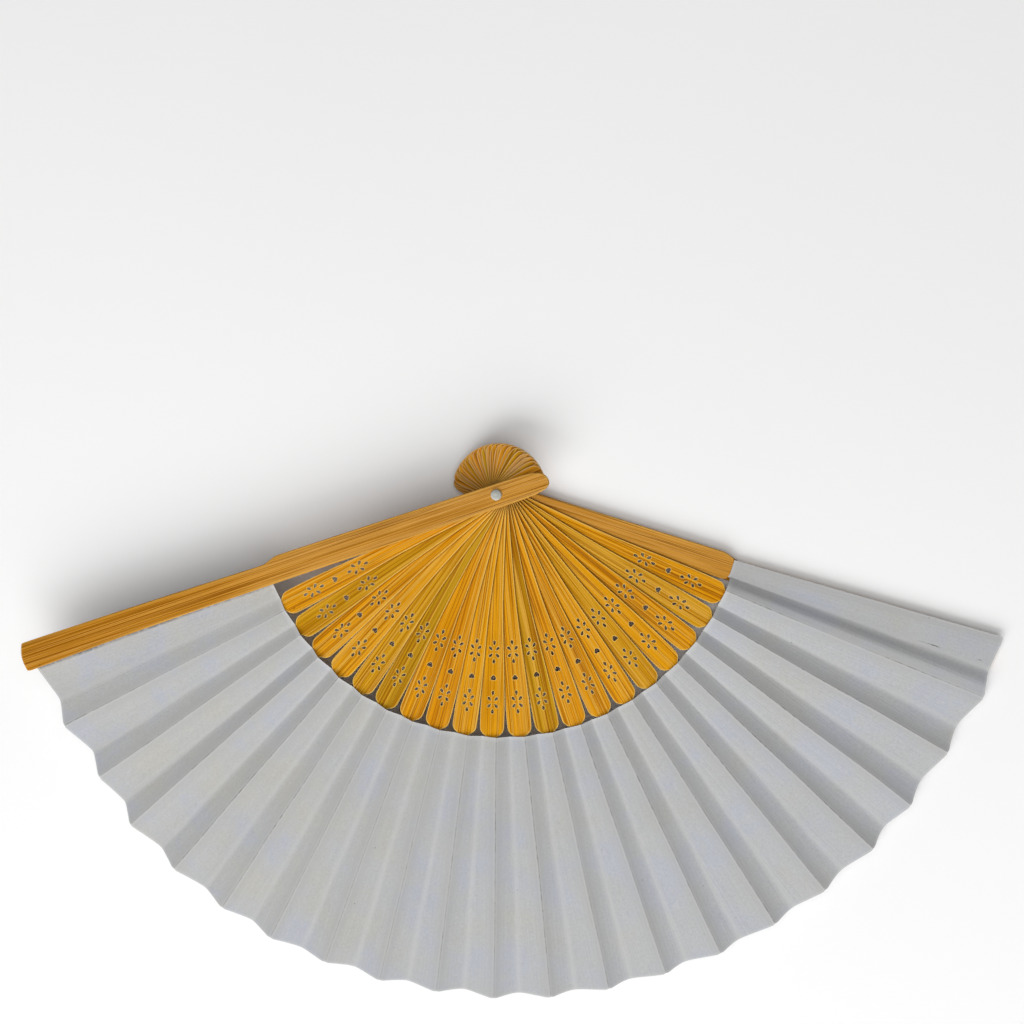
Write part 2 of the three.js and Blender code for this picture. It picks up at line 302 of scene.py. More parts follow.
# ---- materials --------------------------------------------------------------------------------
class Graph:
    def __init__(self, name):
        self.mat = bpy.data.materials.new(name)
        self.mat.use_nodes = True
        self.tree = self.mat.node_tree
        self.shader = self.tree.nodes["Principled BSDF"]

    def node(self, kind, **props):
        n = self.tree.nodes.new(kind)
        for k, v in props.items():
            setattr(n, k, v)
        return n

    def put(self, socket, value):
        if isinstance(value, bpy.types.NodeSocket):
            self.tree.links.new(value, socket)
        else:
            socket.default_value = value

    def attr(self, name, what="Fac"):
        n = self.node("ShaderNodeAttribute", attribute_name=name)
        return n.outputs[what]

    def math(self, op, a, b=0.0, clamp=False):
        n = self.node("ShaderNodeMath", operation=op, use_clamp=clamp)
        self.put(n.inputs[0], a)
        self.put(n.inputs[1], b)
        return n.outputs[0]

    def vec(self, op, a, b):
        n = self.node("ShaderNodeVectorMath", operation=op)
        self.put(n.inputs[0], a)
        self.put(n.inputs[1], b)
        return n.outputs[0]

    def dot(self, a, b):
        n = self.node("ShaderNodeVectorMath", operation="DOT_PRODUCT")
        self.put(n.inputs[0], a)
        self.put(n.inputs[1], b)
        return n.outputs["Value"]

    def noise(self, vector, scale=1.0, detail=2.0, rough=0.5):
        n = self.node("ShaderNodeTexNoise")
        self.put(n.inputs["Vector"], vector)
        n.inputs["Scale"].default_value = scale
        n.inputs["Detail"].default_value = detail
        n.inputs["Roughness"].default_value = rough
        return n.outputs["Fac"]

    def ramp(self, fac, stops, colour=True):
        n = self.node("ShaderNodeValToRGB")
        el = n.color_ramp.elements
        while len(el) < len(stops):
            el.new(0.5)
        for e, (at, c) in zip(el, stops):
            e.position = at
            e.color = (*c, 1) if colour else (c, c, c, 1)
        self.put(n.inputs[0], fac)
        return n.outputs[0]

    def span(self, value, a, b, c, d):
        n = self.node("ShaderNodeMapRange")
        self.put(n.inputs[0], value)
        for i, x in enumerate((a, b, c, d)):
            n.inputs[i + 1].default_value = x
        return n.outputs[0]

    def mix(self, fac, a, b, blend="MIX"):
        n = self.node("ShaderNodeMix", data_type="RGBA", blend_type=blend)
        self.put(n.inputs[0], fac)
        for socket, value in ((n.inputs[6], a), (n.inputs[7], b)):
            self.put(socket, (*value, 1) if isinstance(value, tuple) else value)
        return n.outputs[2]

    def bump(self, height, strength, distance):
        n = self.node("ShaderNodeBump")
        n.inputs["Strength"].default_value = strength
        n.inputs["Distance"].default_value = distance
        self.put(n.inputs["Height"], height)
        self.put(self.shader.inputs["Normal"], n.outputs[0])


def bamboo(name, deep, mid, gold, pale, greenish, line, streak, groove, fine, handled):
    g = Graph(name)
    grain = g.attr("grain", "Vector")                      # along, across, through, in metres
    seed = g.attr("seed", "Vector")
    tone = g.attr("tone")

    def fibres(along, across, shift, detail, rough=0.5):
        at = g.vec("ADD", g.vec("MULTIPLY", grain, (along, across * fine, 0.3 * across * fine)), g.vec("MULTIPLY", seed, (shift, shift, shift)))
        return g.noise(at, 1.0, detail, rough)

    band = fibres(5, 380, 2.3, 1.0)
    strand = fibres(8, 1050, 1.7, 2.0)
    fibre = fibres(14, 2300, 1.0, 2.0, 0.6)
    hair = fibres(26, 4600, 3.1, 2.0, 0.6)
    cloud = fibres(38, 110, 0.6, 2.0)
    where = g.math("ADD", g.math("ADD", g.math("MULTIPLY", strand, 0.50), g.math("MULTIPLY", band, 0.20)),
                   g.math("ADD", g.math("MULTIPLY", fibre, 0.30), tone))
    colour = g.ramp(where, [(0.40, deep), (0.455, mid), (0.53, gold)])
    olive = g.attr("olive")                                # + greenish, - reddish
    colour = g.mix(g.span(olive, 0, 1, 0, 0.85), colour, g.ramp(where, [(0.40, greenish[0]), (0.60, greenish[1])]))
    colour = g.mix(g.span(olive, 0, -1, 0, 0.75), colour, g.ramp(where, [(0.38, (0.54, 0.17, 0.001)), (0.60, (0.80, 0.33, 0.008))]))
    colour = g.mix(g.span(cloud, 0.48, 0.72, 0.0, 0.35), colour, deep)
    # pale streaks, broad and fine and duller on the handled tail, then dark grooves and hair-thin lines along the stick
    tail = g.span(g.dot(grain, (1.0, 0.0, 0.0)), -0.005, -0.010, 0.0, handled)
    pale = g.mix(tail, pale, (0.60, 0.36, 0.16))
    paler = g.math("ADD", fibres(6, 1250, 4.3, 3.0, 0.65), g.math("MULTIPLY", tone, 0.7))
    colour = g.mix(g.span(paler, 0.555, 0.60, 0.0, streak), colour, pale)
    colour = g.mix(g.span(fibres(9, 2600, 5.9, 2.0, 0.6), 0.56, 0.60, 0.0, 0.6 * streak), colour, pale)
    colour = g.mix(g.span(fibre, 0.44, 0.395, 0.0, groove), colour, line)
    colour = g.mix(g.span(hair, 0.44, 0.38, 0.0, 0.5), colour, line)
    # small dark flecks
    v = g.node("ShaderNodeTexVoronoi", feature="F1")
    g.put(v.inputs["Vector"], g.vec("ADD", g.vec("MULTIPLY", grain, (130, 260, 200)), seed))
    v.inputs["Scale"].default_value = 1.0
    rare = g.node("ShaderNodeSeparateColor")
    g.put(rare.inputs[0], v.outputs["Color"])
    fleck = g.math("MULTIPLY", g.span(v.outputs["Distance"], 0.05, 0.09, 1.0, 0.0), g.span(rare.outputs[0], 0.90, 0.92, 0.0, 0.7))
    colour = g.mix(fleck, colour, (0.16, 0.06, 0.01))
    # cut edges are paler; the hole walls and the strip beside the stick that lies on top get painted shade
    edge = g.math("MULTIPLY", g.attr("edge"), g.span(hair, 0.3, 0.65, 0.7, 1.0))
    colour = g.mix(edge, colour, g.mix(tail, (0.84, 0.54, 0.13), (0.70, 0.45, 0.22)))
    # painted shade: the walls of the holes turn nearly black
    colour = g.mix(g.span(g.attr("edge"), 0.0, -0.8, 0.0, 0.95), colour, (0.05, 0.022, 0.008))
    # painted shade: dark brown beside the edge of the stick that lies on top
    lap = g.attr("lap")
    colour = g.mix(g.span(lap, 0.05, 0.65, 0.75, 0.0), colour, (0.19, 0.066, 0.003))
    g.put(g.shader.inputs["Base Color"], colour)
    g.put(g.shader.inputs["Roughness"], g.span(fibre, 0.3, 0.7, 0.62, 0.42))
    g.shader.inputs["Specular IOR Level"].default_value = 0.03
    g.bump(g.math("ADD", fibre, g.math("ADD", g.math("MULTIPLY", strand, 0.6), g.math("MULTIPLY", hair, 0.4))), 0.5, 0.00007)
    return g.mat


GREENISH = ((0.35, 0.185, 0.0015), (0.53, 0.31, 0.012))
RIB_BAMBOO = bamboo("rib_bamboo", (0.41, 0.14, 0.001), (0.64, 0.253, 0.002), (0.77, 0.335, 0.003), (0.74, 0.40, 0.055),
                    GREENISH, (0.33, 0.105, 0.001), 0.85, 0.8, 1.0, 0.75)
GUARD_BAMBOO = bamboo("guard_bamboo", (0.35, 0.130, 0.005), (0.50, 0.207, 0.012), (0.60, 0.277, 0.038), (0.69, 0.37, 0.095),
                      GREENISH, (0.235, 0.080, 0.003), 0.65, 0.85, 1.5, 0.0)


def paper():
    g = Graph("leaf_paper")
    at = g.attr("rest", "Vector")                          # the sheet at rest, in metres
    across = g.attr("ridge")                               # distance from the nearer ridge, in millimetres
    valley = g.attr("valley")
    blotch = g.noise(at, 55.0, 3.0, 0.55)
    # bluish and yellowish patches, with more blue towards the end of the rim on the rear guard's side
    cool = g.dot(at, (20.0, -25.0, 0.0))
    tint = g.math("SUBTRACT", g.noise(g.vec("ADD", at, (3.1, 1.7, 0.4)), 42.0, 5.0, 0.62), g.span(cool, 1.0, 5.5, -0.005, 0.055))
    # faint creases that run along the pleats
    stroke = g.noise(g.vec("ADD", g.vec("MULTIPLY", across, (1.6, 0.0, 0.0)), g.vec("MULTIPLY", at, (16, 16, 16))), 1.0, 4.0, 0.62)
    tooth = g.noise(at, 2600.0, 3.0, 0.6)
    fibre = g.noise(g.vec("MULTIPLY", at, (900, 900, 300)), 1.0, 3.0, 0.65)
    colour = g.ramp(tint, [(0.39, (0.442, 0.456, 0.506)), (0.44, (0.460, 0.464, 0.470)), (0.54, (0.464, 0.464, 0.454)), (0.62, (0.470, 0.462, 0.430))])
    colour = g.mix(g.span(cool, 1.0, 5.5, 0.0, 0.28), colour, (0.452, 0.476, 0.512))
    colour = g.mix(g.span(blotch, 0.4, 0.75, 0.0, 0.14), colour, (0.36, 0.36, 0.36))
    colour = g.mix(g.span(fibre, 0.58, 0.8, 0.0, 0.18), colour, (0.33, 0.325, 0.315))
    colour = g.mix(g.span(stroke, 0.50, 0.70, 0.0, 0.22), colour, (0.37, 0.37, 0.368))
    colour = g.mix(g.span(stroke, 0.45, 0.32, 0.0, 0.30), colour, (0.53, 0.53, 0.525))
    mottle = g.noise(at, 1300.0, 2.0, 0.6)
    colour = g.mix(g.span(mottle, 0.53, 0.68, 0.0, 0.40), colour, (0.385, 0.385, 0.38))
    colour = g.mix(g.span(mottle, 0.47, 0.32, 0.0, 0.40), colour, (0.535, 0.535, 0.53))
    # brighter along the valleys, darker towards the ridges
    worn = g.noise(at, 420.0, 3.0, 0.6)
    soft = g.math("MULTIPLY", g.span(valley, 0.0, 1.7, 0.62, 0.0), g.span(worn, 0.25, 0.65, 0.6, 1.0))
    colour = g.mix(soft, colour, (0.545, 0.545, 0.540))
    colour = g.mix(g.span(across, 0.2, 4.5, 0.65, 0.0), colour, (0.415, 0.414, 0.408))
    # small dark specks
    v = g.node("ShaderNodeTexVoronoi", feature="F1")
    g.put(v.inputs["Vector"], at)
    v.inputs["Scale"].default_value = 130.0
    rare = g.node("ShaderNodeSeparateColor")
    g.put(rare.inputs[0], v.outputs["Color"])
    speck = g.math("MULTIPLY", g.span(v.outputs["Distance"], 0.018, 0.034, 1.0, 0.0), g.span(rare.outputs[0], 0.72, 0.76, 0.0, 0.75))
    colour = g.mix(speck, colour, (0.12, 0.115, 0.11))
    # the sharp ridges are rubbed and soiled, broken along their length, with a pale line beside
    line = g.math("MULTIPLY", g.span(across, 0.10, 0.34, 1.0, 0.0), g.span(worn, 0.42, 0.64, 0.0, 0.65))
    line = g.math("MULTIPLY", line, g.span(g.noise(at, 26.0, 2.0, 0.5), 0.44, 0.62, 0.12, 1.0))
    colour = g.mix(line, colour, (0.22, 0.215, 0.21))
    glow = g.math("MULTIPLY", g.span(across, 0.30, 0.9, 0.35, 0.0), g.span(across, 0.2, 0.34, 0.0, 1.0))
    colour = g.mix(glow, colour, (0.56, 0.56, 0.55))
    # short creases in the panel on the rear guard, and painted shadow beside the front guard
    ragged = g.span(g.noise(at, 900.0, 2.0, 0.6), 0.35, 0.55, 0.25, 1.0)
    for (x0, y0), (x1, y1), wide, strength in CREASES_AND_SHADOW_LINES:
        d = Vector((x1 - x0, y1 - y0, 0)) * MM
        u = d.normalized()
        here = g.vec("SUBTRACT", at, (x0 * MM, y0 * MM, 0))
        along = g.dot(here, (u.x, u.y, 0))
        off = g.math("ABSOLUTE", g.dot(here, (-u.y, u.x, 0)))
        length = d.length
        ends = g.math("MULTIPLY", g.span(along, 0, 0.2 * length, 0.0, 1.0), g.span(along, 0.85 * length, length, 1.0, 0.0))
        mark = g.math("MULTIPLY", g.math("MULTIPLY", g.span(off, 0.3 * wide * MM, wide * MM, strength, 0.0), ends), ragged)
        colour = g.mix(mark, colour, (0.13, 0.125, 0.12))
    # painted highlight along the paper's edges
    colour = g.mix(g.math("MULTIPLY", g.attr("edge"), 0.5), colour, (0.62, 0.62, 0.61))
    g.put(g.shader.inputs["Base Color"], colour)
    g.put(g.shader.inputs["Roughness"], g.span(tooth, 0.3, 0.7, 0.95, 0.78))
    g.shader.inputs["Specular IOR Level"].default_value = 0.15
    g.bump(g.math("ADD", g.math("ADD", tooth, g.math("MULTIPLY", fibre, 0.8)), g.math("MULTIPLY", stroke, 5.0)), 0.3, 0.00004)
    return g.mat


# From, to, half width and darkness of each crease or line of painted shadow, in millimetres.
CREASES_AND_SHADOW_LINES = [
    ((155.0, -53.85), (160.3, -55.6), 0.30, 0.85),
    ((151.8, -52.9), (155.6, -54.0), 0.22, 0.35),
    ((173.1, -59.5), (174.6, -60.1), 0.28, 0.60),
    ((178.2, -58.8), (179.2, -59.7), 0.28, 0.55),
    ((175.2, -49.5), (180.6, -50.8), 0.22, 0.60),
    ((155.3, -45.2), (156.2, -44.3), 0.22, 0.45),
    # painted shadow beside the front guard
    ((-80.0, -32.0), (-136.0, -51.5), 1.0, 0.45),
    ((-118.0, -45.2), (-163.0, -61.5), 1.0, 0.55),
    ((-148.0, -56.0), (-180.0, -67.7), 1.1, 0.60),
]
PAPER = paper()


def rivet_plastic():
    g = Graph("rivet_plastic")
    at = g.node("ShaderNodeTexCoord").outputs["Object"]
    cloud = g.noise(at, 700.0, 3.0, 0.55)
    scuff = g.noise(g.vec("MULTIPLY", at, (1400, 5200, 1400)), 1.0, 3.0, 0.65)
    colour = g.ramp(cloud, [(0.35, (0.41, 0.415, 0.37)), (0.65, (0.52, 0.525, 0.48))])
    colour = g.mix(g.span(scuff, 0.60, 0.75, 0.0, 0.35), colour, (0.34, 0.32, 0.27))
    g.put(g.shader.inputs["Base Color"], colour)
    g.put(g.shader.inputs["Roughness"], g.span(scuff, 0.35, 0.7, 0.42, 0.60))
    g.shader.inputs["Specular IOR Level"].default_value = 0.25
    g.bump(scuff, 0.12, 0.00003)
    return g.mat


RIVET = rivet_plastic()


# ---- the leaf's folds -------------------------------------------------------------------------
def panel(k):
    a = stick_deg(k)
    if k == 0:
        z = REAR_Z + GUARD_T - RELIEF + 0.05 + 0.09
        return a + 1.95, a - 1.28, (z,) * 4
    if k == RIBS + 1:
        z = FRONT_Z + RELIEF - 0.05 - 0.09
        return a + 1.3, a - 0.6, (z,) * 4
    top = rib_z(k) + RIB_T
    h = [float(np.interp(k, FOLD_AT, row)) for row in FOLD_H]
    valley = a - 2.5 if k == RIBS else a + VALLEY_AT * STEP
    return a + RIDGE_AT * STEP, valley, tuple(top + x for x in h)


def ridge_line(k, t):
    """Angle, and height, of ridge k at t from the inner edge (0) to the rim (1)."""
    ridge, _, z = panel(k)
    wander = np.array([noise.noise(Vector((k * 3.7, float(x) * 3.0, 0.3))) for x in t]) * 0.10
    if k in (0, RIBS + 1):
        wander = wander * 0.3
    return ridge + RIM_TURN[k] * lerp(0.3, 1.0, t) + wander, lerp(z[0], z[1], t)


def valley_line(k, t):
    _, valley, z = panel(k)
    wander = np.array([noise.noise(Vector((k * 3.7 + 50, float(x) * 3.0, 0.9))) for x in t]) * 0.16
    if k in (0, RIBS + 1):
        wander = wander * 0.2
    if k > RIBS:
        return valley + wander, lerp(z[2], z[3], t)
    return lerp(ridge_line(k, t)[0], ridge_line(k + 1, t)[0], PHASE[k]) + wander, lerp(z[2], z[3], t)


def soft_max(a, b, k):
    return np.maximum(a, b) + np.maximum(k - np.abs(a - b), 0) ** 2 / (4 * k)


def ripple(x, y, z):
    """Slight waves in the paper."""
    out = np.empty(len(x))
    for i in range(len(x)):
        p = Vector((x[i], y[i], z[i]))
        out[i] = 0.13 * noise.noise(p * 0.045) + 0.055 * noise.noise(p * 0.16 + Vector((9, 4, 2))) + 0.02 * noise.noise(p * 0.5)
    return out


T_ROWS = np.concatenate([np.linspace(0, 0.06, 4), np.linspace(0.09, 0.97, 40), np.linspace(0.98, 1, 3)])
A_COLS = np.array([0, 0.012, 0.03, 0.07, 0.15, 0.27, 0.4, 0.53, 0.65, 0.75, 0.83, 0.9, 0.95, 1.0])
B_COLS = np.array([0.05, 0.1, 0.17, 0.25, 0.34, 0.44, 0.54, 0.64, 0.73, 0.81, 0.88, 0.93, 0.97, 0.988, 1.0])


def pleat_surface(k):
    """Grid of the middle of pleat k: positions, distance across from the ridges and the valley, and how far each point follows the next stick."""
    t = T_ROWS
    ra, rz = ridge_line(k, t)
    va, vz = valley_line(k, t)
    na, nz = ridge_line(k + 1, t) if k <= RIBS else (None, None)
    n = len(t)
    radius_mid = lerp(IN_RIDGE, OUT_RIDGE, t)
    theta = step_after(k)
    sharp = float(np.interp(k, [1, 8, 20], [1.7, 1.5, 0.95]))     # how the rim rises to the next ridge
    cols = [("A", s) for s in A_COLS] + ([("B", s) for s in B_COLS] if k <= RIBS else [])
    P = np.zeros((n, len(cols), 3))
    ridge_d = np.zeros((n, len(cols)))
    valley_d = np.zeros((n, len(cols)))
    weight = np.zeros((n, len(cols)))
    wA = np.radians(ra - va) * radius_mid
    wB = np.radians(va - na) * radius_mid if k <= RIBS else None
    soften = lerp(0.10, 0.55, t) if 0 < k <= RIBS else np.full(n, 0.06)
    for c, (part, s) in enumerate(cols):
        if part == "A":
            ang = lerp(ra, va, s)
            h = lerp(rz, vz, s)
            if k <= RIBS:
                back = -(1 - s) * wA / wB
                other = vz + (1 - 0.75 * t) * back * (nz - vz)
                h = soft_max(h, other, soften)
            d = s * wA
            dv = (1 - s) * wA
        else:
            ang = lerp(va, na, s)
            rise = lerp(s, s ** 1.9, 0.8 * t) if k else lerp(s ** 0.62, 0.9 * smooth(s / 0.66) + 0.1 * s, np.minimum(1, 0.35 + t))
            h = vz + rise * (nz - vz)
            other = vz - (rz - vz) * s * wB / wA
            h = soft_max(h, other, soften)
            d = (1 - s) * wB
            dv = s * wB
            # closed, this panel lies between the two flat ones, low enough to clear the next tongue
            H = np.clip((h - vz) / (nz - vz), 0, 1)
            grid = np.linspace(0, 1, 201)
            low = np.interp(grid, [0, 0.3, 0.88, 1], [0, 0.22, 0.30, 1]) if k < RIBS else grid
            flat = np.empty(n)
            for i in range(n):
                D, rise_by = max(0.0, rz[i] - vz[i]), nz[i] - rz[i]
                y = grid * D + low * rise_by
                flat[i] = np.interp(H[i] * (nz[i] - vz[i]), y, grid)
            share = (va - na) / theta
            weight[:, c] = np.clip(share * s + (1 - share) * flat, 0, 1)
        # the inner edge runs from ridge to valley in straight lines, the rim from pointed ridge to rounded valley
        away = s if part == "A" else 1 - s
        inner = np.full(n, lerp(IN_RIDGE, IN_VALLEY, away))
        peak = RIM_RIDGE[k] if part == "A" else RIM_RIDGE[k + 1]
        rise = (1 - s) ** 1.15 if part == "A" else s ** sharp
        rise = math.sqrt(rise * rise + 0.0064) - 0.08 * (1 - rise)
        outer = RIM_VALLEY[k] + (peak - RIM_VALLEY[k]) * rise
        outer -= 0.5 * max(0.0, 1 - d[-1] / 1.6) ** 2
        if k == 0 and part == "A":
            inner = np.full(n, 88.5)
        r = lerp(inner, outer, t)
        a = np.radians(ang)
        P[:, c, 0], P[:, c, 1], P[:, c, 2] = r * np.cos(a), r * np.sin(a), h
        ridge_d[:, c], valley_d[:, c] = d, dv
    return P, ridge_d, valley_d, weight


def grid_piece(name, P, thick, attributes, material):
    """A closed sheet of that thickness about the grid's middle surface."""
    n, m, _ = P.shape
    du = np.gradient(P, axis=0)
    dv = np.gradient(P, axis=1)
    nor = np.cross(du, dv)
    nor /= np.linalg.norm(nor, axis=2)[:, :, None]
    if nor[:, :, 2].mean() < 0:
        nor = -nor
    top, bot = P + nor * thick / 2, P - nor * thick / 2
    verts = np.concatenate([top.reshape(-1, 3), bot.reshape(-1, 3)])
    T = lambda i, j: i * m + j
    B = lambda i, j: n * m + i * m + j
    faces = []
    for i in range(n - 1):
        for j in range(m - 1):
            faces.append((T(i, j), T(i, j + 1), T(i + 1, j + 1), T(i + 1, j)))
            faces.append((B(i, j), B(i + 1, j), B(i + 1, j + 1), B(i, j + 1)))
    for i in range(n - 1):
        faces.append((T(i, 0), T(i + 1, 0), B(i + 1, 0), B(i, 0)))
        faces.append((T(i, m - 1), B(i, m - 1), B(i + 1, m - 1), T(i + 1, m - 1)))
    for j in range(m - 1):
        faces.append((T(0, j), B(0, j), B(0, j + 1), T(0, j + 1)))
        faces.append((T(n - 1, j), T(n - 1, j + 1), B(n - 1, j + 1), B(n - 1, j)))
    a, b, c, _ = faces[0]
    up = np.cross(verts[b] - verts[a], verts[c] - verts[a])[2]
    if up < 0:
        faces = [f[::-1] for f in faces]
    both = {key: np.concatenate([v.reshape(-1, *v.shape[2:])] * 2) for key, v in attributes.items()}
    ob = mesh_object(name, verts, faces, material, None, both)
    ob.data.set_sharp_from_angle(angle=math.radians(50))
    area = 0.0
    for f in faces[: 2 * (n - 1) * (m - 1) : 2]:
        p = verts[list(f)]
        area += 0.5 * np.linalg.norm(np.cross(p[2] - p[0], p[3] - p[1]))
    return ob, area


def leaf_piece(k):
    P, ridge_d, valley_d, weight = pleat_surface(k)
    flat = P.reshape(-1, 3)
    hold = np.ones(len(flat))
    if k in (0, RIBS + 1):
        cols = P.shape[1]
        c = np.arange(len(flat)) % cols
        hold = np.where(c < len(A_COLS), 0.12, 1.0)
    rest = flat * MM
    moved = flat.copy()
    moved[:, 2] += ripple(flat[:, 0], flat[:, 1], flat[:, 2]) * hold
    P = moved.reshape(P.shape)
    n, m, _ = P.shape
    # the inner edge, the rim and the outer edge of the panel on the rear guard carry a painted highlight
    edge = np.zeros((n, m))
    edge[0, :] = edge[-1, :] = 1.0
    if k == 0:
        edge[:, :2] = 0.6
    attributes = {"rest": rest.reshape(P.shape), "ridge": ridge_d, "valley": valley_d, "edge": edge}
    end = k > RIBS
    name = "paper_end_panel" if end else "paper_pleat_%02d" % (k + 1)
    node = "leaf_end_panel" if end else "leaf_pleat_%02d" % (k + 1)
    ob, area = grid_piece(name, P, LEAF_T, attributes, PAPER)
    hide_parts(node)
    if end:
        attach(ob, "front_guard")
    else:
        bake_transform(ob)
    return ob


# ---- ribs -------------------------------------------------------------------------------------
def table(rows, x):
    return np.interp(x, [r[0] for r in rows], [r[1] for r in rows])


def petal(cx, cy, deg):
    a = math.radians(deg)
    out = []
    for i in range(12):
        th = 2 * math.pi * i / 12
        u = -0.5 * math.cos(th) * PETAL_L
        v = 0.5 * PETAL_W * math.sin(th) * abs(math.sin(th / 2)) ** 0.8 / 0.80
        out.append((cx + u * math.cos(a) - v * math.sin(a), cy + u * math.sin(a) + v * math.cos(a)))
    return out


def heart(cx):
    half = [(-1.1, 0.0), (-0.4, 0.74), (0.2, 1.04), (0.68, 0.92), (0.92, 0.5), (0.72, 0.0)]
    loop = [(cx + x, y) for x, y in half] + [(cx + x, -y) for x, y in reversed(half[1:-1])]
    return chaikin(loop, 2)


def circle(r, n):
    return [(r * math.cos(2 * math.pi * i / n), r * math.sin(2 * math.pi * i / n)) for i in range(n)]


def rib_outline():
    side = list(RIB_EDGE)
    cx, cy = RIB_TOP - RIB_CORNER, RIB_EDGE[-1][1] - RIB_CORNER
    for d in (12, 24, 36, 48, 59):
        side.append((cx + RIB_CORNER * math.sin(math.radians(d)), cy + RIB_CORNER * math.cos(math.radians(d))))
    side += [(90.0, 1.9), (90.8, 1.6), (91.6, 1.4), (92.5, 1.3), (93.5, 1.2), (96, 1.15), (108, 1.1), (TONGUE_END - 1.2, 0.95), (TONGUE_END - 0.4, 0.9), (TONGUE_END, 0.5)]
    loop = [(x, -y) for x, y in side] + [(x, y) for x, y in reversed(side)]
    return spread(chaikin(loop, 2), 3.0)


RIB_LOOP = rib_outline()
RIB_HOLES = [circle(BORE_R, 32)]
for r in FLOWER_AT:
    RIB_HOLES += [petal(r + PETAL_OUT, 0, 0), petal(r - PETAL_OUT, 0, 180)]
    for u in (-1, 1):
        for v in (-1, 1):
            RIB_HOLES.append(petal(r + u * PETAL_SIDE, v * PETAL_SIDE, v * 42 if u > 0 else 180 - v * 42))
RIB_HOLES.append(heart(HEART_AT))
# Each rib's own colour: greenish (+) or reddish (-), and paler (+) or darker (-) than most.
OLIVE = {2: 0.6, 3: -0.4, 5: 0.6, 6: -0.3, 7: -0.6, 8: -0.6, 9: 0.9, 13: -0.7, 14: -0.2, 15: 1.0, 16: 0.65, 18: -0.3, 19: 0.75, 20: -0.4}
TONE = {1: -0.02, 3: 0.0, 4: 0.05, 6: 0.035, 7: 0.0, 8: 0.0, 10: 0.03, 11: 0.04, 12: 0.05, 13: 0.0, 14: -0.02, 15: -0.02, 16: 0.03, 17: 0.07, 18: 0.03, 20: 0.0}
RIB_FILL = [(x, y) for x in np.arange(-17, 90, 1.5) for y in (-3.2, -2.2, -1.1, 0, 1.1, 2.2, 3.2)]


def lap_of(v):
    """Distance of points of one stick from the rib that lies next above it, in millimetres."""
    p = turn_z(v, STEP)
    x, y = p[:, 0], np.abs(p[:, 1])
    half = table(RIB_EDGE, x)
    cx, cy = RIB_TOP - RIB_CORNER, RIB_EDGE[-1][1] - RIB_CORNER
    top = cy + np.sqrt(np.clip(RIB_CORNER ** 2 - (x - cx) ** 2, 0, None))
    half = np.where(x > cx, top, half)
    return np.where((x > RIB_TOP) | (x < RIB_EDGE[0][0]), 9.0, np.clip(y - half, -2, 9))


def rib_piece(k):
    mid, z0 = stick_deg(k), rib_z(k)
    bow = rng.uniform(-0.02, 0.02)
    # the leaf over this rib's tongue
    t_leaf = np.linspace(0, 1, 161)
    ra, rz = ridge_line(k, t_leaf)
    va, vz = valley_line(k, t_leaf)
    over = rz + (vz - rz) * (ra - mid) / (ra - va)
    steep = (rz - vz) / np.radians(ra - va)
    ca, sa = math.cos(math.radians(mid)), math.sin(math.radians(mid))

    def middle(x, y):
        t = np.clip((x - 89.9) / (187.6 - 89.9), 0, 1)
        go = smooth((x - 89.8) / 3.4)
        leaf = np.interp(t, t_leaf, over) + np.interp(t, t_leaf, steep) * y / np.maximum(x, 1)
        leaf = leaf + np.where(go > 0, ripple(ca * x - sa * y, sa * x + ca * y, leaf), 0)
        flat = z0 + RIB_T / 2 - 0.045 * (y / 4.0) ** 2 + bow * np.sin(x * 0.045)
        return lerp(flat, leaf - LEAF_T / 2 - GLUE_GAP - 0.05 - TONGUE_T / 2, go), lerp(RIB_T, TONGUE_T, go) / 2

    def top(x, y):
        zc, half = middle(x, y)
        return zc + half

    def bottom(x, y):
        zc, half = middle(x, y)
        return zc - half

    v, f, n, edge = plate(RIB_LOOP, RIB_HOLES, 0.09, 2, 0.36, top, bottom, RIB_FILL)
    kind = rng.random()
    tone = TONE.get(k, rng.uniform(-0.03, 0.03))
    olive = OLIVE.get(k, 0.2 * kind - 0.1)
    count = len(v)
    attributes = {
        "grain": (v - np.array([0, 0, z0])) * MM,
        "seed": np.tile([rng.uniform(0, 90), rng.uniform(0, 90), rng.uniform(0, 90)], (count, 1)),
        "tone": np.full(count, tone),
        "olive": np.full(count, olive),
        "edge": edge,
        # distance from the rib above, which places the painted shade beside it; the tails keep a little of it
        "lap": np.maximum(lap_of(v), np.where(v[:, 0] < -4, 0.3, -2)) if k < RIBS else np.full(count, 9.0),
    }
    ob = mesh_object("bamboo_rib_%02d" % k, turn_z(v, mid), f, RIB_BAMBOO, turn_z(n, mid), attributes)
    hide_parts("rib_%02d" % k)
    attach(ob, "rib_%02d" % k)
    return ob


# ---- guards -----------------------------------------------------------------------------------
def finer(points, x0, x1, step):
    """A closed loop with more points where x lies between x0 and x1."""
    out = []
    for p, q in zip(points, np.roll(points, -1, axis=0)):
        n = 1
        if max(p[0], q[0]) > x0 and min(p[0], q[0]) < x1:
            n = max(1, math.ceil(math.hypot(q[0] - p[0], q[1] - p[1]) / step))
        out += [p + (q - p) * i / n for i in range(n)]
    return np.array(out)


def past_end(x, y):
    """Distance past the rounded end of the rear guard's plate."""
    dx, dy = np.maximum(x - END_X, 0), np.maximum(np.abs(y) - END_Y, 0)
    return np.where(x > END_X, np.hypot(dx, dy) - END_R, -END_R)


